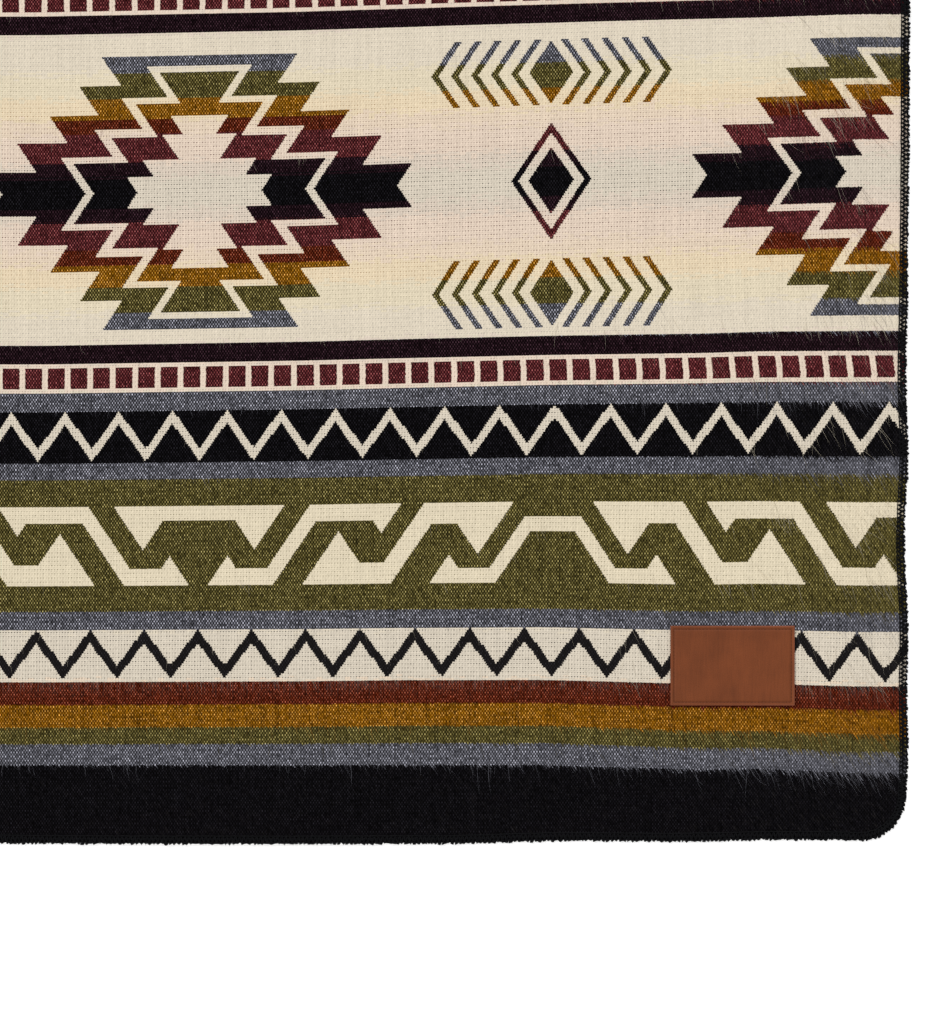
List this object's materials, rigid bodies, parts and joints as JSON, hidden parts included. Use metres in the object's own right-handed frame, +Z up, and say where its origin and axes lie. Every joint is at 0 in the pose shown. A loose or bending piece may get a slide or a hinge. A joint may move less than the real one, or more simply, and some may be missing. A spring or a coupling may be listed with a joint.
{
  "type": "wool throw",
  "caption": "Flat woven wool throw with rounded corners, stripes and stepped diamond motifs, an overlocked edge and a plain leather label in one corner.",
  "frame": {"origin": "centre of the throw's bounding box, on the surface that it lies on", "axes": "+X across the throw's width, +Y along its length and away from the labelled end, +Z up out of its face"},
  "size_m": [1.37, 1.776, 0.0074],
  "materials": {
    "woven_wool": "brushed double weave with stripes, zigzags and stepped diamonds in cream, black, olive, gold, rust, maroon, aubergine and blue grey",
    "edging_yarn": "thick matt black overlocking yarn",
    "label_leather": "smooth brown leather, satin"
  },
  "bodies": {
    "root": {"woven_cloth": "woven_wool", "edge_overlock": "edging_yarn", "leather_label": "label_leather"}
  },
  "joints": []
}
